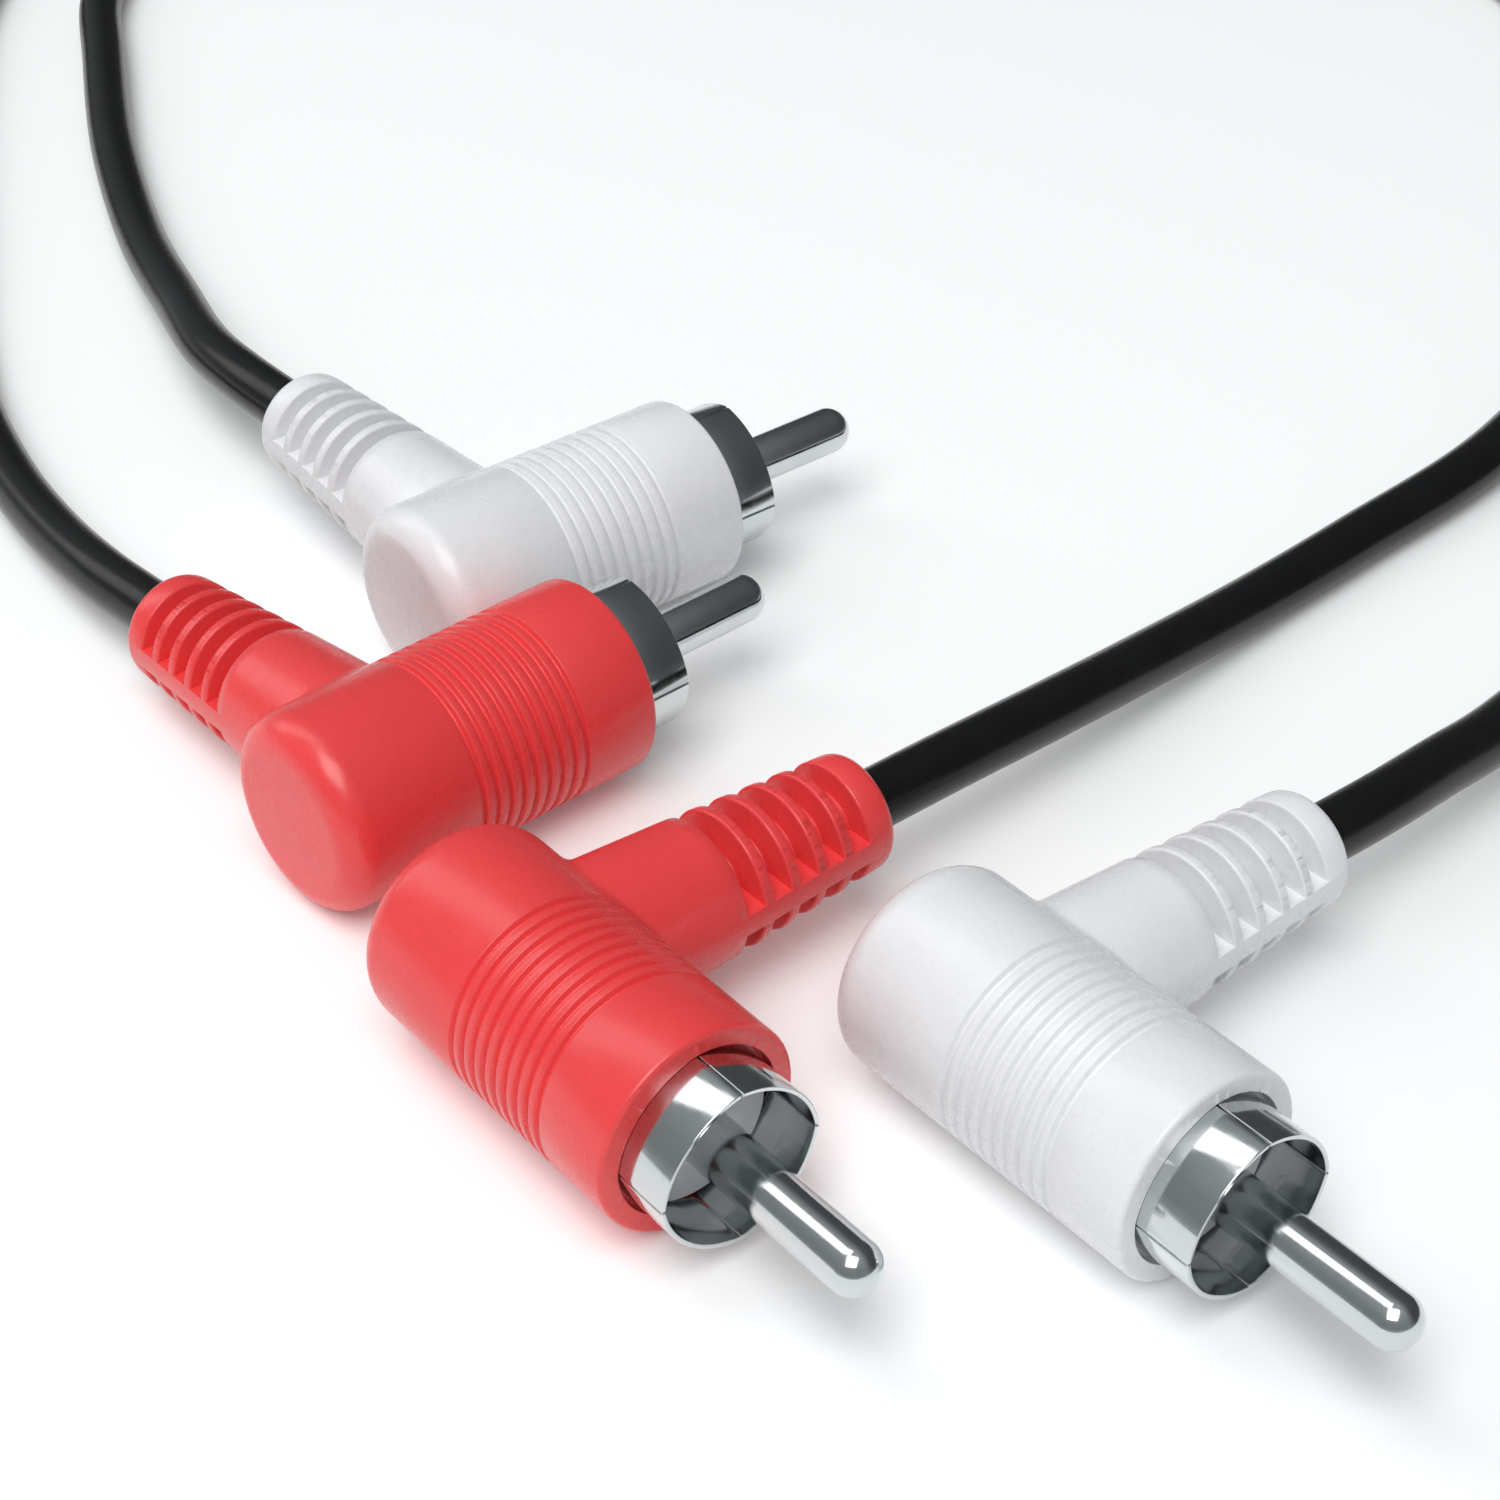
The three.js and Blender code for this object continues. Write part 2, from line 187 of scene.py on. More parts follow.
WHITE_ROUTE = (
    (-0.0287, 0.0422, 0.0064), (-0.0332, 0.0478, 0.0061), (-0.0369, 0.0538, 0.0053),
    (-0.0409, 0.0638, 0.0038), (-0.0457, 0.0764, 0.0023), (-0.0507, 0.0930, 0.00195),
    (-0.0545, 0.1107, 0.00195), (-0.0568, 0.1236, 0.00195), (-0.0561, 0.1370, 0.00195),
    (-0.0507, 0.1487, 0.00195), (-0.0384, 0.1572, 0.00195), (-0.0186, 0.1608, 0.0022),
    (0.0018, 0.1660, 0.0048), (0.0158, 0.1732, 0.0064), (0.0298, 0.1808, 0.0048),
    (0.0468, 0.1860, 0.0023), (0.0660, 0.1842, 0.00195), (0.0834, 0.1708, 0.00195),
    (0.0932, 0.1484, 0.00195), (0.0948, 0.1218, 0.00195), (0.0928, 0.0954, 0.00195),
    (0.0856, 0.0692, 0.00195), (0.0736, 0.0452, 0.00195), (0.0618, 0.0254, 0.0023),
    (0.0489, 0.0081, 0.0047), (0.0443, 0.0032, 0.0056), (0.0400, -0.0011, 0.0062),
    (0.0352, -0.0051, 0.0064),
)


@dataclass(frozen=True)
class View:
    """The photograph's camera: a square frame, looking along +Y and down at the floor."""

    place: Point = (0.0028, -0.14525, 0.11923)
    pitch_down: float = 37.15
    roll: float = 0.13
    focal_pixels: float = 3105.8
    frame_pixels: int = 1500
    sensor: float = 36.0

    def build(self) -> bpy.types.Object:
        """Makes the camera and puts it in use.

        Returns:
            The camera object.
        """
        data = bpy.data.cameras.new("photo_camera")
        data.sensor_width = self.sensor
        data.lens = self.sensor * self.focal_pixels / self.frame_pixels
        data.clip_start = 0.005
        data.clip_end = 20.0
        data.dof.use_dof = False
        camera = bpy.data.objects.new("photo_camera", data)
        tilt = Matrix.Rotation(math.radians(90.0 - self.pitch_down), 4, "X")
        roll = Matrix.Rotation(math.radians(self.roll), 4, "Z")
        camera.matrix_world = Matrix.Translation(self.place) @ tilt @ roll
        bpy.context.scene.collection.objects.link(camera)
        bpy.context.scene.camera = camera
        return camera


@dataclass
class Nodes:
    """A material under construction, with short ways to add and join its nodes."""

    name: str
    material: bpy.types.Material = field(init=False)
    shader: bpy.types.Node = field(init=False)
    place: bpy.types.NodeSocket = field(init=False)

    def __post_init__(self) -> None:
        """Starts the material with its shader and the piece's own coordinates."""
        self.material = bpy.data.materials.new(self.name)
        self.material.use_nodes = True
        self.shader = self.material.node_tree.nodes["Principled BSDF"]
        self.place = self.add("ShaderNodeTexCoord").outputs["Object"]

    def add(self, kind: str, **settings: object) -> bpy.types.Node:
        """Adds one node.

        Args:
            kind: The node's type name.
            **settings: Attributes of the node, or values of its inputs by name.

        Returns:
            The new node.
        """
        node = self.material.node_tree.nodes.new(kind)
        for key, value in settings.items():
            if hasattr(node, key):
                setattr(node, key, value)
            else:
                node.inputs[key.replace("_", " ").title()].default_value = value
        return node

    def join(self, source: bpy.types.NodeSocket, target: bpy.types.NodeSocket) -> None:
        """Links an output to an input.

        Args:
            source: The output.
            target: The input.
        """
        self.material.node_tree.links.new(source, target)

    def noise(self, scale: float, detail: float = 3.0, stretch: Sequence[float] = (1, 1, 1)) -> bpy.types.NodeSocket:
        """Adds a noise in the piece's own coordinates.

        Args:
            scale: Features per metre.
            detail: Octaves of the noise.
            stretch: Scale along each axis.

        Returns:
            The noise's factor, about a half on average.
        """
        mapping = self.add("ShaderNodeMapping")
        mapping.inputs["Scale"].default_value = stretch
        self.join(self.place, mapping.inputs["Vector"])
        noise = self.add("ShaderNodeTexNoise", scale=scale, detail=detail)
        self.join(mapping.outputs["Vector"], noise.inputs["Vector"])
        return noise.outputs["Fac"]

    def spread(self, factor: bpy.types.NodeSocket, low: float, high: float) -> bpy.types.NodeSocket:
        """Maps the middle of a noise to a range of values.

        Args:
            factor: A factor from 0 to 1.
            low: Value at a factor of 0.3.
            high: Value at a factor of 0.7.

        Returns:
            The mapped value.
        """
        ramp = self.add("ShaderNodeMapRange")
        for name, value in (("From Min", 0.3), ("From Max", 0.7), ("To Min", low), ("To Max", high)):
            ramp.inputs[name].default_value = value
        self.join(factor, ramp.inputs["Value"])
        return ramp.outputs["Result"]

    def blend(
        self, factor: bpy.types.NodeSocket, first: Sequence[float], second: Sequence[float]
    ) -> bpy.types.NodeSocket:
        """Mixes two colours.

        Args:
            factor: Share of the second colour.
            first: Linear colour, three values.
            second: Linear colour, three values.

        Returns:
            The mixed colour.
        """
        mix = self.add("ShaderNodeMix", data_type="RGBA")
        mix.inputs[6].default_value = (*first, 1.0)
        mix.inputs[7].default_value = (*second, 1.0)
        self.join(factor, mix.inputs[0])
        return mix.outputs[2]

    def bump(self, height: bpy.types.NodeSocket, depth: float) -> None:
        """Roughens the surface.

        Args:
            height: Height from 0 to 1.
            depth: What a height of 1 stands for, in metres.
        """
        bump = self.add("ShaderNodeBump")
        bump.inputs["Distance"].default_value = depth
        self.join(height, bump.inputs["Height"])
        self.join(bump.outputs["Normal"], self.shader.inputs["Normal"])


def shade(colour: Sequence[float], share: float) -> tuple[float, ...]:
    """Scales a colour.

    Args:
        colour: Linear colour.
        share: Factor on each value.

    Returns:
        The scaled colour.
    """
    return tuple(min(1.0, value * share) for value in colour)


@dataclass(frozen=True)
class Vinyl:
    """Satin moulded vinyl with a very fine grain and faint flow marks."""

    name: str
    colour: Point
    roughness: float = 0.27
    grain: float = 4800.0
    grain_depth: float = 0.006 * MM

    def build(self) -> bpy.types.Material:
        """Makes the material.

        Returns:
            The new material.
        """
        nodes = Nodes(self.name)
        flow = nodes.noise(140.0, 4.0, (1.0, 1.0, 1.6))
        colour = nodes.blend(nodes.spread(flow, 0.0, 1.0), shade(self.colour, 0.965), shade(self.colour, 1.02))
        nodes.join(colour, nodes.shader.inputs["Base Color"])
        patches = nodes.noise(900.0, 5.0)
        nodes.join(
            nodes.spread(patches, self.roughness - 0.04, self.roughness + 0.05),
            nodes.shader.inputs["Roughness"],
        )
        nodes.shader.inputs["Specular IOR Level"].default_value = 0.5
        nodes.bump(nodes.noise(self.grain, 2.0), self.grain_depth)
        return nodes.material


@dataclass(frozen=True)
class Plating:
    """Bright nickel plate with fine drawing marks along the pin and faint smears."""

    name: str
    colour: Point = (0.66, 0.69, 0.69)
    roughness: float = 0.12
    mark_scale: float = 6500.0
    mark_depth: float = 0.002 * MM

    def build(self) -> bpy.types.Material:
        """Makes the material.

        Returns:
            The new material.
        """
        nodes = Nodes(self.name)
        nodes.shader.inputs["Metallic"].default_value = 1.0
        tint = nodes.spread(nodes.noise(400.0, 4.0), 0.0, 1.0)
        nodes.join(nodes.blend(tint, shade(self.colour, 0.95), self.colour), nodes.shader.inputs["Base Color"])
        smears = nodes.noise(1500.0, 5.0)
        nodes.join(
            nodes.spread(smears, self.roughness - 0.03, self.roughness + 0.04),
            nodes.shader.inputs["Roughness"],
        )
        nodes.place = nodes.add("ShaderNodeAttribute", attribute_name=OWN_PLACE).outputs["Vector"]
        nodes.bump(nodes.noise(self.mark_scale, 3.0, (0.015, 1.0, 1.0)), self.mark_depth)
        return nodes.material


@dataclass(frozen=True)
class Jacket:
    """Black extruded cord jacket with a satin skin."""

    name: str
    colour: Point = (0.0075, 0.0078, 0.0083)
    roughness: float = 0.25

    def build(self) -> bpy.types.Material:
        """Makes the material.

        Returns:
            The new material.
        """
        nodes = Nodes(self.name)
        tint = nodes.spread(nodes.noise(260.0, 4.0), 0.0, 1.0)
        nodes.join(
            nodes.blend(tint, shade(self.colour, 0.85), shade(self.colour, 1.15)),
            nodes.shader.inputs["Base Color"],
        )
        nodes.join(
            nodes.spread(nodes.noise(1800.0, 4.0), self.roughness - 0.02, self.roughness + 0.03),
            nodes.shader.inputs["Roughness"],
        )
        nodes.shader.inputs["Specular IOR Level"].default_value = 0.3
        nodes.bump(nodes.noise(4200.0, 3.0), 0.0015 * MM)
        return nodes.material


@dataclass(frozen=True)
class Plain:
    """A small inner part's material: one colour with slight variation and a fine grain."""

    name: str
    colour: Point
    roughness: float = 0.5
    metallic: float = 0.0
    grain: float = 4000.0

    def build(self) -> bpy.types.Material:
        """Makes the material.

        Returns:
            The new material.
        """
        nodes = Nodes(self.name)
        nodes.shader.inputs["Metallic"].default_value = self.metallic
        tint = nodes.spread(nodes.noise(600.0, 4.0), 0.0, 1.0)
        nodes.join(
            nodes.blend(tint, shade(self.colour, 0.9), shade(self.colour, 1.05)),
            nodes.shader.inputs["Base Color"],
        )
        nodes.join(
            nodes.spread(nodes.noise(1500.0, 3.0), self.roughness - 0.05, self.roughness + 0.05),
            nodes.shader.inputs["Roughness"],
        )
        nodes.bump(nodes.noise(self.grain, 2.0), 0.005 * MM)
        return nodes.material


RED_VINYL = Vinyl("red_vinyl", (0.85, 0.062, 0.064))
WHITE_VINYL = Vinyl("white_vinyl", (0.83, 0.835, 0.85), grain_depth=0.0025 * MM)
NICKEL = Plating("nickel_plate")
CORD_JACKET = Jacket("cord_jacket")
BUSH_PLASTIC = Plain("bush_plastic", (0.72, 0.72, 0.74), 0.4)
CORE_PLASTIC = Plain("core_plastic", (0.70, 0.68, 0.62), 0.5)
BRAID_COPPER = Plain("braid_copper", (0.72, 0.36, 0.18), 0.35, 1.0)


def new_mesh(name: str, work: bmesh.types.BMesh) -> bpy.types.Mesh:
    """Cleans a mesh under construction and stores it.

    Args:
        name: Name of the mesh.
        work: The mesh under construction, which is freed.

    Returns:
        The stored mesh, with its faces pointing out.
    """
    bmesh.ops.remove_doubles(work, verts=work.verts, dist=WELD)
    bmesh.ops.dissolve_degenerate(work, edges=work.edges, dist=WELD / 10)
    bmesh.ops.recalc_face_normals(work, faces=work.faces)
    mesh = bpy.data.meshes.new(name)
    work.to_mesh(mesh)
    work.free()
    return mesh


@dataclass
class Turned:
    """A turned shape: a profile that is spun about the pin's axis or the boot's."""

    axis: Axis
    profile: Sequence[Row]
    segments: int
    closed: bool = False
    work: bmesh.types.BMesh = field(init=False)

    def __post_init__(self) -> None:
        """Spins the profile through a full turn."""
        self.work = bmesh.new()
        verts = [self.work.verts.new(self.place(station, radius)) for station, radius in self.profile]
        pairs = list(zip(verts, verts[1:]))
        if self.closed:
            pairs.append((verts[-1], verts[0]))
        edges = [self.work.edges.new(pair) for pair in pairs]
        bmesh.ops.spin(
            self.work, geom=verts + edges, cent=(0.0, 0.0, 0.0), axis=self.axis.value,
            angle=2 * math.pi, steps=self.segments, use_merge=True,
        )
        bmesh.ops.remove_doubles(self.work, verts=self.work.verts, dist=WELD)
        bmesh.ops.recalc_face_normals(self.work, faces=self.work.faces)

    def place(self, station: float, radius: float) -> Point:
        """Gives the point of the profile at a station and a radius."""
        return (station, radius, 0.0) if self.axis is Axis.PIN else (radius, station, 0.0)

    def polar(self, vert: bmesh.types.BMVert) -> Row:
        """Gives the station and the radius of a vertex."""
        x, y, z = vert.co
        return (x, math.hypot(y, z)) if self.axis is Axis.PIN else (y, math.hypot(x, z))

    def round(self, corners: Sequence[Row], rounding: float, steps: int) -> None:
        """Rounds the ring edges that run through some corners of the profile.

        Args:
            corners: The corners.
            rounding: Distance from the edge to where the rounding starts.
            steps: Number of faces across the rounding.
        """
        on_corner = {
            vert for vert in self.work.verts
            if any(math.dist(self.polar(vert), corner) < 10 * WELD for corner in corners)
        }
        edges = [edge for edge in self.work.edges if on_corner.issuperset(edge.verts)]
        bmesh.ops.bevel(
            self.work, geom=edges, offset=rounding, offset_type="OFFSET", segments=steps,
            profile=0.5, affect="EDGES", material=-1, clamp_overlap=False,
        )

    def mesh(self, name: str) -> bpy.types.Mesh:
        """Stores the shape under a name and frees its mesh under construction."""
        return new_mesh(name, self.work)


def block(name: str, low: Point, high: Point) -> bpy.types.Mesh:
    """Builds a plain block, as a cutting tool or a flat strip.

    Args:
        name: Name of the mesh.
        low: Its lowest corner.
        high: Its highest corner.

    Returns:
        The mesh.
    """
    work = bmesh.new()
    middle = (Vector(low) + Vector(high)) / 2
    size = Vector(high) - Vector(low)
    place = Matrix.Translation(middle) @ Matrix.Diagonal((*size, 1.0))
    bmesh.ops.create_cube(work, size=1.0, matrix=place)
    return new_mesh(name, work)


def slice_across(mesh: bpy.types.Mesh, stations: Sequence[float]) -> bpy.types.Mesh:
    """Divides the faces of a mesh at stations along the boot, so that each slot cuts faces of its own.

    Args:
        mesh: The mesh.
        stations: Distances from the body's axis.

    Returns:
        The same mesh.
    """
    work = bmesh.new()
    work.from_mesh(mesh)
    for station in stations:
        parts = [*work.verts, *work.edges, *work.faces]
        bmesh.ops.bisect_plane(work, geom=parts, plane_co=(0.0, station, 0.0), plane_no=(0.0, 1.0, 0.0))
    work.to_mesh(mesh)
    work.free()
    return mesh


def split_faces(mesh: bpy.types.Mesh) -> None:
    """Splits a mesh's faces into triangles, so that the solver has no larger face to put together again.

    Args:
        mesh: The mesh.
    """
    work = bmesh.new()
    work.from_mesh(mesh)
    bmesh.ops.triangulate(work, faces=work.faces[:])
    work.to_mesh(mesh)
    work.free()


def combine(name: str, base: bpy.types.Mesh, steps: Sequence[tuple[str, bpy.types.Mesh]]) -> bpy.types.Mesh:
    """Joins solids to a solid, or cuts them out of it, one after the other, in millimetres.

    Args:
        name: Name of the result.
        base: The first solid.
        steps: Pairs of operation, UNION or DIFFERENCE, and solid.

    Returns:
        The result.
    """
    scene = bpy.context.scene
    base.transform(Matrix.Scale(1 / MM, 4))
    for operation, mesh in steps:
        mesh.transform(Matrix.Scale(1 / MM, 4))
        split_faces(base)
        split_faces(mesh)
        host = bpy.data.objects.new(name, base)
        tool = bpy.data.objects.new(mesh.name, mesh)
        modifier = host.modifiers.new(mesh.name, "BOOLEAN")
        modifier.operation = operation
        modifier.solver = "MANIFOLD"
        modifier.object = tool
        for item in (host, tool):
            scene.collection.objects.link(item)
        bpy.context.view_layer.update()
        graph = bpy.context.evaluated_depsgraph_get()
        result = bpy.data.meshes.new_from_object(host.evaluated_get(graph))
        for item in (host, tool):
            bpy.data.objects.remove(item)
        for used in (base, mesh):
            bpy.data.meshes.remove(used)
        base = result
    base.transform(Matrix.Scale(MM, 4))
    base.name = name
    return base


def smooth(mesh: bpy.types.Mesh, angle: float = 35.0) -> bpy.types.Mesh:
    """Shades a mesh smooth, apart from its sharp edges.

    Args:
        mesh: The mesh.
        angle: Edges that turn more than this many degrees stay sharp.

    Returns:
        The same mesh.
    """
    mesh.polygons.foreach_set("use_smooth", [True] * len(mesh.polygons))
    mesh.set_sharp_from_angle(angle=math.radians(angle))
    mesh.update()
    return mesh


def keep_places(mesh: bpy.types.Mesh) -> None:
    """Keeps every vertex's place in the plug's own frame, for patterns that run along the pin.

    Args:
        mesh: The mesh, before it is laid in its place.
    """
    places = [value for vert in mesh.vertices for value in vert.co]
    mesh.attributes.new(OWN_PLACE, "FLOAT_VECTOR", "POINT").data.foreach_set("vector", places)


@dataclass
class Moulding:
    """The overmould: a grooved round body and a slotted strain relief boot in one piece."""

    shape: PlugShape
    body_segments: int = 144
    boot_segments: int = 120
    boot_base: float = 1.0 * MM
    skirt_margin: float = 0.9 * MM
    root_rows: int = 6
    tool_gap: float = 0.02 * MM
    tool_reach: float = 8.0 * MM

    def body(self) -> bpy.types.Mesh:
        """Builds the round body with its grip grooves.

        Returns:
            The closed mesh.
        """
        shape = self.shape
        radius, floor = shape.body_radius, shape.body_radius - shape.groove_depth
        profile = [(shape.body_rear, 0.0), (shape.body_rear, radius)]
        lips, floors = [], []
        for groove in range(shape.grooves):
            middle = shape.first_groove + groove * shape.groove_pitch
            lips += [(middle + side * shape.groove_width / 2, radius) for side in (-1, 1)]
            floors += [(middle + side * shape.groove_floor / 2, floor) for side in (-1, 1)]
            profile += [lips[-2], floors[-2], floors[-1], lips[-1]]
        profile += [(shape.body_front, radius), (shape.body_front, 0.0)]
        body = Turned(Axis.PIN, profile, self.body_segments)
        body.round([profile[1]], shape.rear_rounding, 12)
        body.round([profile[-2]], shape.front_rounding, 4)
        body.round(lips, shape.groove_lip_rounding, 2)
        body.round(floors, shape.groove_floor_rounding, 2)
        return body.mesh("body")

    def boot_radius(self, station: float) -> float:
        """Gives the radius of the tapered boot.

        Args:
            station: Distance from the body's axis.

        Returns:
            The radius there.
        """
        shape = self.shape
        taper = (shape.boot_end_radius - shape.boot_root_radius) / (shape.boot_end - shape.boot_root_station)
        return shape.boot_root_radius + taper * (station - shape.boot_root_station)

    def boot_blank(self) -> bpy.types.Mesh:
        """Builds the boot without its slots: a cone whose flared root is laid over the round body.

        Returns:
            The closed mesh.
        """
        shape = self.shape
        crown, fillet = shape.boot_root_station, shape.boot_root_fillet
        corner = (crown, shape.boot_root_radius)
        plain = shape.first_slot - self.skirt_margin
        first = crown + 1.6 * fillet
        profile = [
            (self.boot_base, 0.0), (self.boot_base, shape.boot_root_radius),
            (crown - fillet, corner[1] + fillet + shape.boot_flare), (crown, corner[1] + 1.12 * fillet), corner,
        ]
        for row in range(self.root_rows + 1):
            station = first + (plain - first) * row / self.root_rows
            profile.append((station, self.boot_radius(station)))
        end = (shape.boot_end, shape.boot_end_radius)
        profile += [end, (shape.boot_end, 0.0)]
        blank = Turned(Axis.BOOT, profile, self.boot_segments)
        blank.round([corner], fillet, 8)
        blank.round([end], shape.boot_end_rounding, 8)
        for vert in blank.work.verts:
            share = min(1.0, max(0.0, (plain - vert.co.y) / (plain - crown - fillet)))
            vert.co.y -= share * (crown - math.sqrt(shape.body_radius**2 - vert.co.z**2))
        middles = [shape.first_slot + slot * shape.slot_pitch + shape.slot_width / 2 for slot in range(shape.slots)]
        return slice_across(blank.mesh("boot_blank"), middles)

    def slot_tool(self) -> bpy.types.Mesh:
        """Builds the tool for the slots: five rings with rounded lips that spare the flat spine.

        Returns:
            The closed mesh.
        """
        shape = self.shape
        profile, lips, floors = [], [], []
        for slot in range(shape.slots):
            start = shape.first_slot + slot * shape.slot_pitch
            walls = (start, start + shape.slot_width)
            lips += [(wall, self.boot_radius(wall) + self.tool_gap) for wall in walls]
            floors += [(wall, shape.boot_core_radius) for wall in walls]
            profile += [lips[-2], floors[-2], floors[-1], lips[-1]]
        low, high = lips[0][0] - shape.slot_width / 2, lips[-1][0] + shape.slot_width / 2
        profile.insert(0, (low, self.boot_radius(low) + self.tool_gap))
        profile.append((high, self.boot_radius(high) + self.tool_gap))
        profile += [(high, self.tool_reach), (low, self.tool_reach)]
        tool = Turned(Axis.BOOT, profile, self.boot_segments, closed=True)
        tool.round(lips, shape.slot_lip_rounding + self.tool_gap, 4)
        tool.round(floors, shape.slot_floor_rounding, 2)
        reach, half = self.tool_reach + 1 * MM, shape.spine_half_height
        spine = block("spine", (-reach, low - 1 * MM, -half), (reach, high + 1 * MM, half))
        rings = [(before + after) / 2 for (before, _), (after, _) in zip(lips[1::2], lips[2::2])]
        slot_rings = tool.mesh("slot_rings")
        # Half a segment's turn keeps the tool's edges off those of the boot.
        slot_rings.transform(Matrix.Rotation(math.pi / self.boot_segments, 4, "Y"))
        return combine("slot_tool", slot_rings, [("DIFFERENCE", slice_across(spine, rings))])

    def cable_hole(self) -> bpy.types.Mesh:
        """Builds the room for the cable: a mouth for the jacket and a narrower bore behind it.

        Returns:
            The closed mesh.
        """
        shape = self.shape
        step, end = shape.boot_end - shape.cable_mouth_depth, shape.boot_end + 1 * MM
        profile = [
            (0.0, 0.0), (0.0, shape.cable_room), (step, shape.cable_room), (step, shape.cable_mouth),
            (end, shape.cable_mouth), (end, 0.0),
        ]
        return Turned(Axis.BOOT, profile, self.boot_segments // 2).mesh("cable_hole")

    def barrel_room(self) -> bpy.types.Mesh:
        """Builds the room for the collar's barrel.

        Returns:
            The closed mesh.
        """
        shape = self.shape
        radius, rear = shape.barrel_radius + self.tool_gap, -0.8 * shape.cable_room
        profile = [(rear, 0.0), (rear, radius), (shape.body_front, radius), (shape.body_front, 0.0)]
        return Turned(Axis.PIN, profile, self.body_segments).mesh("barrel_room")

    def build(self, recess: bpy.types.Mesh) -> bpy.types.Mesh:
        """Builds the whole moulding, with its slots, front recess and cable hole.

        Args:
            recess: The room for the foot of the collar.

        Returns:
            The mesh in the plug's own frame.
        """
        boot = combine("boot", self.boot_blank(), [("DIFFERENCE", self.slot_tool())])
        rooms = (recess, self.barrel_room(), self.cable_hole())
        steps = [("UNION", boot), *(("DIFFERENCE", room) for room in rooms)]
        return smooth(combine("moulding", self.body(), steps))


@dataclass
class Collar:
    """The ground contact: four sprung petals on a flat foot, a barrel and a solder tag."""

    shape: PlugShape
    segments: int = 96
    petal_steps: int = 24
    edge_rounding: float = 0.07 * MM

    def offset(self) -> float:
        """Gives how far beyond the pin a petal's bend is centred.

        Returns:
            The distance.
        """
        half = self.shape.collar_corner_radius * math.sqrt(0.5)
        return math.sqrt(self.shape.petal_radius**2 - half**2) - half

    def foot_back(self) -> float:
        """Gives the station of the foot's back face, which rests on the recess floor."""
        return self.shape.body_front - self.shape.recess_depth + 0.02 * MM

    def bend(self, index: int) -> tuple[Vector, float]:
        """Gives where a petal's bend is centred, and the direction of its middle.

        Args:
            index: Number of the petal, from the boot's side up.

        Returns:
            The centre and the angle round the pin, which is zero towards the boot.
        """
        middle = (index + 0.5) * 2 * math.pi / self.shape.petals
        return self.offset() * Vector((0.0, -math.cos(middle), -math.sin(middle))), middle

    def corner(self, radius: float) -> float:
        """Gives how far from the pin the bends of two petals meet.

        Args:
            radius: Radius of both bends.

        Returns:
            The distance.
        """
        side = self.offset() * math.sqrt(0.5)
        return math.sqrt(radius**2 - side**2) - side

    def sweep(self, radius: float) -> float:
        """Gives half the angle that a bend of some radius turns through."""
        return math.asin(self.corner(radius) * math.sqrt(0.5) / radius)

    def recess(self) -> bpy.types.Mesh:
        """Builds the room for the foot: snug round two petals, and a full circle beside the others.

        Returns:
            The closed mesh.
        """
        shape = self.shape
        snug = shape.petal_radius + shape.recess_gap
        work = bmesh.new()
        station = Vector((shape.body_front - shape.recess_depth, 0.0, 0.0))
        for index in range(shape.petals):
            (centre, middle), radius, half = self.bend(index), snug, self.sweep(snug)
            if index % 2 == 0:
                centre, radius, half = Vector(), self.corner(snug), math.pi / shape.petals
            out = Vector((0.0, math.cos(middle - half), math.sin(middle - half)))
            start = work.verts.new(station + centre + radius * out)
            bmesh.ops.spin(
                work, geom=[start], cent=station + centre, axis=Axis.PIN.value, angle=2 * half,
                steps=self.petal_steps, use_merge=False,
            )
        bmesh.ops.remove_doubles(work, verts=work.verts, dist=100 * WELD)
        floor = bmesh.ops.contextual_create(work, geom=work.edges[:])["faces"]
        grown = bmesh.ops.extrude_face_region(work, geom=floor)["geom"]
        moved = [item for item in grown if isinstance(item, bmesh.types.BMVert)]
        bmesh.ops.translate(work, verts=moved, vec=(shape.recess_depth + 1 * MM, 0.0, 0.0))
        return new_mesh("recess", work)

    def petal(self, index: int) -> bpy.types.Mesh:
        """Builds one petal: a strip of sheet, bent flatter than a circle round the pin.

        Args:
            index: Number of the petal, from the boot's side up.

        Returns:
            The closed mesh.
        """
        shape = self.shape
        rim = shape.body_front + shape.collar_reach
        centre, middle = self.bend(index)
        sweep = self.sweep(shape.petal_radius) - shape.slit_width / (2 * math.sqrt(2) * shape.petal_radius)
        work = bmesh.new()
        out = Vector((0.0, math.cos(middle - sweep), math.sin(middle - sweep)))
        corners = [
            centre + out * radius + Vector((station, 0.0, 0.0))
            for station, radius in (
                (self.foot_back(), shape.petal_radius - shape.sheet), (self.foot_back(), shape.petal_radius),
                (rim, shape.petal_radius), (rim, shape.petal_radius - shape.sheet),
            )
        ]
        section = work.faces.new([work.verts.new(corner) for corner in corners])
        bmesh.ops.spin(
            work, geom=[*section.verts, *section.edges, section], cent=centre, axis=Axis.PIN.value,
            angle=2 * sweep, steps=self.petal_steps, use_merge=False,
        )
        bmesh.ops.recalc_face_normals(work, faces=work.faces)
        sharp = [edge for edge in work.edges if edge.calc_face_angle(0.0) > math.radians(60)]
        bmesh.ops.bevel(
            work, geom=sharp, offset=self.edge_rounding, offset_type="OFFSET", segments=3,
            profile=0.5, affect="EDGES", material=-1, clamp_overlap=False,
        )
        return new_mesh(f"petal_{index}", work)

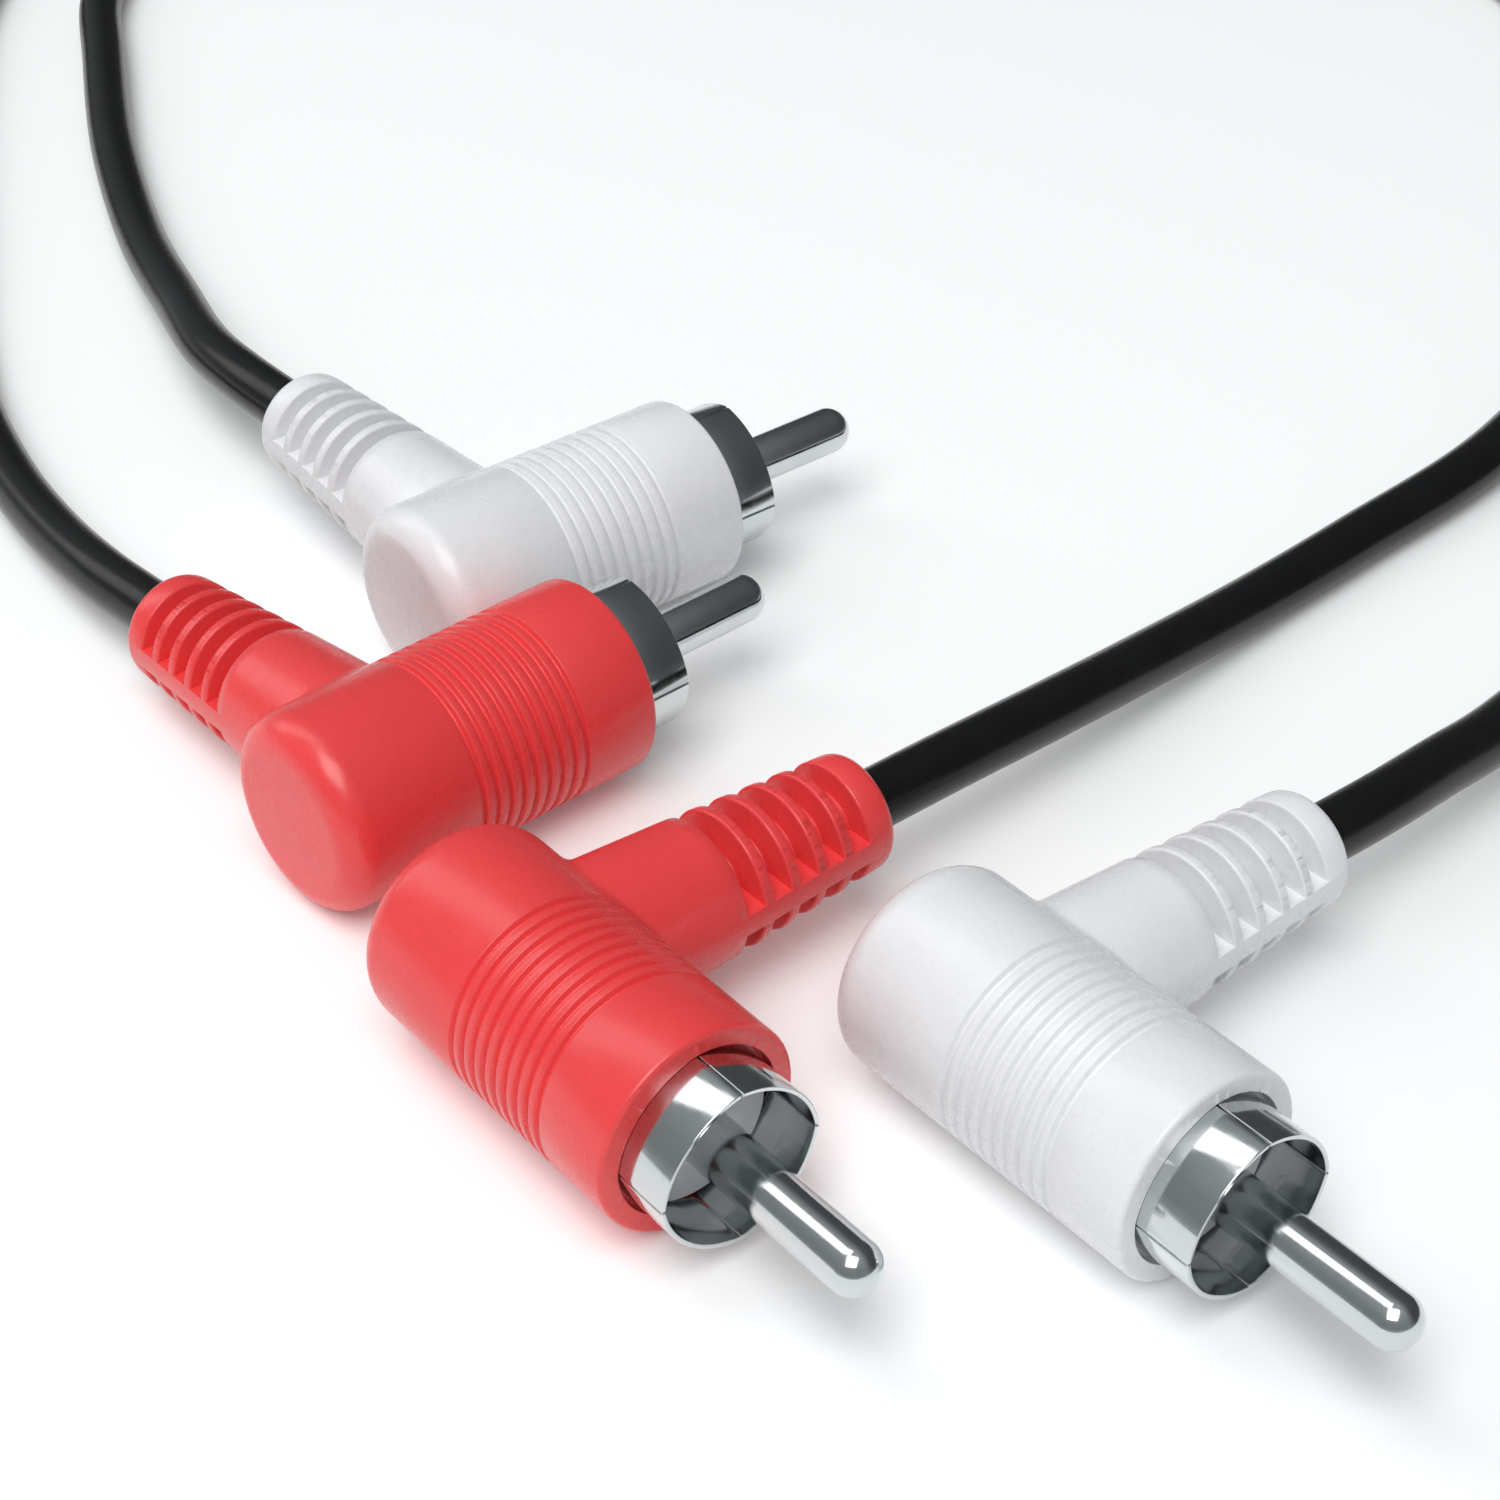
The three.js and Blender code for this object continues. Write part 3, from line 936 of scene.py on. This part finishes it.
    def build(self) -> bpy.types.Mesh:
        """Builds the collar with its foot, barrel and solder tag.

        Returns:
            The mesh in the plug's own frame.
        """
        shape = self.shape
        lip = shape.insulator_radius + 0.02 * MM
        disc = shape.petal_radius - self.offset() - 0.7 * shape.sheet
        back, front = self.foot_back(), self.foot_back() + shape.sheet
        base = Turned(Axis.PIN, [
            (back, lip), (front, lip), (front, disc), (back, disc), (back, shape.barrel_radius),
            (shape.barrel_rear, shape.barrel_radius), (shape.barrel_rear, shape.barrel_bore),
            (back - 0.1 * MM, shape.barrel_bore),
        ], self.segments, closed=True)
        base.round([(front, lip)], 0.06 * MM, 2)
        tag = block(
            "solder_tag",
            (shape.tag_rear, shape.barrel_bore, -shape.tag_width / 2),
            (shape.barrel_rear + 1 * MM, shape.barrel_bore + 0.2 * MM, shape.tag_width / 2),
        )
        steps = [("UNION", self.petal(index)) for index in range(shape.petals)]
        return smooth(combine("collar", base.mesh("collar_base"), [*steps, ("UNION", tag)]), 40.0)


@dataclass
class Contact:
    """The centre pin and the bush that holds it."""

    shape: PlugShape
    segments: int = 96
    tip_share: float = 0.97
    nose_share: float = 0.6

    def pin(self) -> bpy.types.Mesh:
        """Builds the pin: a round tip, a thinner shank and a solder cup.

        Returns:
            The mesh in the plug's own frame.
        """
        shape = self.shape
        radius, shoulder = shape.pin_radius, shape.insulator_front + 0.02 * MM
        tip, cup = shape.body_front + shape.pin_reach, shape.pin_rear + shape.solder_cup_depth
        pin = Turned(Axis.PIN, [
            (cup, 0.0), (cup, shape.solder_cup_radius), (shape.pin_rear, shape.solder_cup_radius),
            (shape.pin_rear, shape.shank_radius), (shoulder, shape.shank_radius), (shoulder, radius),
            (tip, radius), (tip, 0.0),
        ], self.segments)
        pin.round([(tip, radius)], self.tip_share * radius, 16)
        pin.round([(shoulder, radius)], 0.08 * MM, 3)
        return smooth(pin.mesh("pin"))

    def bush(self) -> bpy.types.Mesh:
        """Builds the bush between the pin and the barrel, with the flange that floors the collar.

        Returns:
            The mesh in the plug's own frame.
        """
        shape = self.shape
        bore, hub = shape.shank_radius + 0.03 * MM, shape.insulator_radius
        nose = self.nose_share * hub
        back = shape.body_front - shape.recess_depth + shape.sheet + 0.04 * MM
        front = back + shape.flange_thickness
        bush = Turned(Axis.PIN, [
            (shape.insulator_rear, bore), (shape.insulator_rear, hub), (back, hub),
            (back, shape.flange_radius), (front, shape.flange_radius), (front, nose),
            (shape.insulator_front, nose), (shape.insulator_front, bore),
        ], self.segments, closed=True)
        bush.round([(shape.insulator_front, nose), (front, shape.flange_radius)], 0.12 * MM, 4)
        return smooth(bush.mesh("bush"))


def place_piece(
    name: str, mesh: bpy.types.Mesh, matrix: Matrix, material: bpy.types.Material, node: str
) -> bpy.types.Object:
    """Copies a mesh to its place, dresses it and lets it stand for its solid.

    Args:
        name: Name of the piece.
        mesh: The mesh in the plug's own frame.
        matrix: Where the plug lies.
        material: The piece's material.
        node: The solid that it replaces.

    Returns:
        The new piece.
    """
    own = mesh.copy()
    own.name = name
    own.transform(matrix)
    own.materials.clear()
    own.materials.append(material)
    piece = bpy.data.objects.new(name, own)
    bpy.context.scene.collection.objects.link(piece)
    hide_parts(node)
    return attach(piece, BODY)


@dataclass
class PlugSet:
    """The four plugs, copied from one set of master meshes."""

    shape: PlugShape
    finishes: dict[str, bpy.types.Material]

    def build(self) -> None:
        """Builds the masters and places every plug."""
        contact, collar = Contact(self.shape), Collar(self.shape)
        masters = (
            ("moulding", Moulding(self.shape).build(collar.recess()), "overmould", None, None),
            ("contact_collar", collar.build(), "ground_shell", NICKEL.name, "plated_contact"),
            ("contact_pin", contact.pin(), "centre_pin", NICKEL.name, "plated_contact"),
            ("contact_bush", contact.bush(), "insulator", BUSH_PLASTIC.name, "dark_insulator"),
        )
        for _, mesh, *_ in masters:
            keep_places(mesh)
        vinyl = {Channel.RED: RED_VINYL.name, Channel.WHITE: WHITE_VINYL.name}
        for placing in PLACINGS:
            matrix = placing.matrix(self.shape.body_radius)
            for piece, mesh, node, finish, slot in masters:
                place_piece(
                    f"{placing.name}_{piece}", mesh, matrix,
                    self.finishes[finish or vinyl[placing.channel]],
                    f"{placing.name}_{node}",
                )
        for _, mesh, *_ in masters:
            LOG.info("%s has %d faces", mesh.name, len(mesh.polygons))
            bpy.data.meshes.remove(mesh)


@dataclass
class Cord:
    """One free cord between the boots of two plugs of the same channel."""

    name: str
    node: str
    route: Sequence[Sequence[float]]
    start: Placing
    end: Placing
    shape: PlugShape
    material: bpy.types.Material
    length: float = 0.457
    step: float = 0.8 * MM
    inset: float = 0.25 * MM

    def mouth(self, placing: Placing, station: float) -> Vector:
        """Gives a point on the axis of a plug's boot.

        Args:
            placing: Where the plug lies.
            station: Distance from the body's axis.

        Returns:
            The point in the room.
        """
        return placing.matrix(self.shape.body_radius) @ Vector((0.0, station, 0.0))

    def centreline(self) -> list[Vector]:
        """Rounds the route with a curve through all its points.

        Returns:
            Closely spaced points, from inside one boot to inside the other.
        """
        inside = self.shape.boot_end - self.inset
        points = [self.mouth(self.start, inside), *map(Vector, self.route), self.mouth(self.end, inside)]
        padded = [2 * points[0] - points[1], *points, 2 * points[-1] - points[-2]]
        line = []
        for before, low, high, after in zip(padded, padded[1:], padded[2:], padded[3:]):
            steps = max(1, round((high - low).length / self.step))
            line += [knotted(before, low, high, after, index / steps) for index in range(steps)]
        return [*line, points[-1]]

    def build(self) -> bpy.types.Object:
        """Returns:
            The cord.
        """
        line = self.centreline()
        data = bpy.data.curves.new(self.name, "CURVE")
        data.dimensions = "3D"
        data.bevel_depth = self.shape.cord_radius
        data.bevel_resolution = 10
        data.use_fill_caps = True
        data.twist_mode = "MINIMUM"
        spline = data.splines.new("POLY")
        spline.points.add(len(line) - 1)
        for point, place in zip(spline.points, line):
            point.co = (*place, 1.0)
        spline.use_smooth = True
        data.materials.append(self.material)
        cord = bpy.data.objects.new(self.name, data)
        bpy.context.scene.collection.objects.link(cord)
        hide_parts(self.node)
        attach(cord, BODY)
        measured = sum((high - low).length for low, high in zip(line, line[1:]))
        LOG.info("%s is %.4f m long", self.name, measured)
        return cord


def knotted(before: Vector, low: Vector, high: Vector, after: Vector, share: float) -> Vector:
    """Gives a point of the centripetal curve through four points.

    Args:
        before: The point before the stretch.
        low: Start of the stretch.
        high: End of the stretch.
        after: The point after the stretch.
        share: Place in the stretch, from 0 to 1.

    Returns:
        The point.
    """
    points = (before, low, high, after)
    knots = [0.0]
    for first, second in zip(points, points[1:]):
        knots.append(knots[-1] + math.sqrt((second - first).length))
    here = knots[1] + (knots[2] - knots[1]) * share

    def mix(first: Vector, second: Vector, start: float, end: float) -> Vector:
        """Goes from one point to another, and perhaps past it, as far as the present knot asks."""
        return first.lerp(second, (here - start) / (end - start))

    ends = [mix(points[i], points[i + 1], knots[i], knots[i + 1]) for i in range(3)]
    inner = [mix(ends[i], ends[i + 1], knots[i], knots[i + 2]) for i in range(2)]
    return mix(inner[0], inner[1], knots[1], knots[2])


@dataclass
class Softbox:
    """A rectangular soft light that faces a point of the floor."""

    name: str
    place: Point
    width: float
    height: float
    radiance: float

    def build(self) -> None:
        """Makes the lamp and aims it at the plugs."""
        data = bpy.data.lights.new(self.name, "AREA")
        data.shape = "RECTANGLE"
        data.size, data.size_y = self.width, self.height
        data.energy = math.pi * self.width * self.height * self.radiance
        lamp = bpy.data.objects.new(self.name, data)
        lamp.location = self.place
        lamp.rotation_euler = (-Vector(self.place)).to_track_quat("-Z", "Y").to_euler()
        bpy.context.scene.collection.objects.link(lamp)


@dataclass
class Studio:
    """Plain white floor, a soft light from the upper left, a soft ceiling and a dim surround."""

    floor_size: float = 6.0
    floor_colour: Point = (0.97, 0.975, 0.98)
    floor_glow: float = 0.1
    tint: Point = (0.93, 0.98, 1.0)
    # Level of the surround at some heights, from the horizon up to straight overhead.
    surround: tuple[Row, ...] = ((0.0, 0.36), (0.2, 0.25), (0.5, 0.27), (1.0, 0.4))
    # The surround falls to a share of its level behind the plugs, to the right.
    dim_side: Point = (0.75, 0.66, 0.0)
    dim_share: float = 0.3
    dim_from: float = 0.1
    dim_to: float = 0.6
    key: Softbox = field(default_factory=lambda: Softbox("key_light", (-0.485, 0.28, 0.64), 0.34, 1.15, 1.6))
    ceiling: Softbox = field(default_factory=lambda: Softbox("ceiling_light", (-0.12, -0.42, 0.8), 0.62, 0.62, 4.7))

    def build(self) -> None:
        """Makes the floor, the lights and the surround."""
        scene = bpy.context.scene
        work = bmesh.new()
        bmesh.ops.create_grid(work, x_segments=4, y_segments=4, size=self.floor_size / 2)
        mesh = new_mesh("floor", work)
        mesh.materials.append(self.floor_material())
        floor = bpy.data.objects.new("floor", mesh)
        scene.collection.objects.link(floor)
        self.key.build()
        self.ceiling.build()
        scene.world = self.world()
        scene.view_settings.view_transform = "Standard"

    def world(self) -> bpy.types.World:
        """Makes the surround, whose level changes with the height over the horizon and with the side.

        Returns:
            The world.
        """
        world = bpy.data.worlds.new("surround")
        world.use_nodes = True
        tree = world.node_tree
        direction = tree.nodes.new("ShaderNodeTexCoord")
        parts = tree.nodes.new("ShaderNodeSeparateXYZ")
        ramp = tree.nodes.new("ShaderNodeValToRGB")
        tree.links.new(direction.outputs["Generated"], parts.inputs["Vector"])
        tree.links.new(parts.outputs["Z"], ramp.inputs["Fac"])
        tree.links.new(ramp.outputs["Color"], tree.nodes["Background"].inputs["Color"])
        side = tree.nodes.new("ShaderNodeVectorMath")
        side.operation = "DOT_PRODUCT"
        side.inputs[1].default_value = self.dim_side
        tree.links.new(direction.outputs["Generated"], side.inputs[0])
        share = tree.nodes.new("ShaderNodeMapRange")
        share.interpolation_type = "SMOOTHSTEP"
        ends = {"From Min": self.dim_from, "From Max": self.dim_to, "To Min": 1.0, "To Max": self.dim_share}
        for name, value in ends.items():
            share.inputs[name].default_value = value
        tree.links.new(side.outputs["Value"], share.inputs["Value"])
        tree.links.new(share.outputs["Result"], tree.nodes["Background"].inputs["Strength"])
        stops = ramp.color_ramp.elements
        while len(stops) < len(self.surround):
            stops.new(0.5)
        for stop, (height, level) in zip(stops, self.surround):
            stop.position = height
            stop.color = (*shade(self.tint, level), 1.0)
        return world

    def floor_material(self) -> bpy.types.Material:
        """Makes the floor's matt white paper, which looks a little lighter than the lamps alone make it.

        Returns:
            The material.
        """
        nodes = Nodes("white_paper")
        fibres = nodes.spread(nodes.noise(900.0, 4.0), 0.0, 1.0)
        nodes.join(
            nodes.blend(fibres, shade(self.floor_colour, 0.995), self.floor_colour),
            nodes.shader.inputs["Base Color"],
        )
        nodes.shader.inputs["Roughness"].default_value = 0.7
        nodes.shader.inputs["Specular IOR Level"].default_value = 0.2
        nodes.shader.inputs["Emission Color"].default_value = (1.0, 1.0, 1.0, 1.0)
        path = nodes.add("ShaderNodeLightPath")
        seen = path.outputs["Is Camera Ray"]
        for kind in ("Is Glossy Ray", "Is Transmission Ray"):
            either = nodes.add("ShaderNodeMath", operation="MAXIMUM")
            nodes.join(seen, either.inputs[0])
            nodes.join(path.outputs[kind], either.inputs[1])
            seen = either.outputs["Value"]
        glow = nodes.add("ShaderNodeMath", operation="MULTIPLY")
        glow.inputs[1].default_value = self.floor_glow
        nodes.join(seen, glow.inputs[0])
        nodes.join(glow.outputs["Value"], nodes.shader.inputs["Emission Strength"])
        return nodes.material


def dress_inner_pieces(finishes: dict[str, bpy.types.Material]) -> None:
    """Gives the solids inside each plug their own materials.

    Args:
        finishes: Materials by name.
    """
    inner = {"core_wire": CORE_PLASTIC.name, "shield_braid": BRAID_COPPER.name}
    for placing in PLACINGS:
        for piece, finish in inner.items():
            node = bpy.data.objects[f"{placing.name}_{piece}"]
            node.data.materials.clear()
            node.data.materials.append(finishes[finish])


def main() -> None:
    """Builds the whole scene."""
    logging.basicConfig(level=logging.INFO, format="%(name)s: %(message)s")
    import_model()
    View().build()
    kinds = (RED_VINYL, WHITE_VINYL, NICKEL, CORD_JACKET, BUSH_PLASTIC, CORE_PLASTIC, BRAID_COPPER)
    finishes = {kind.name: kind.build() for kind in kinds}
    shape = PlugShape()
    places = {placing.name: placing for placing in PLACINGS}
    for colour, route in (("red", RED_ROUTE), ("white", WHITE_ROUTE)):
        Cord(
            f"{colour}_cord_jacket", f"{colour}_cord", route, places[f"{colour}_back"],
            places[f"{colour}_front"], shape, finishes[CORD_JACKET.name],
        ).build()
    PlugSet(shape, finishes).build()
    dress_inner_pieces(finishes)
    Studio().build()


if __name__ == "__main__":
    main()
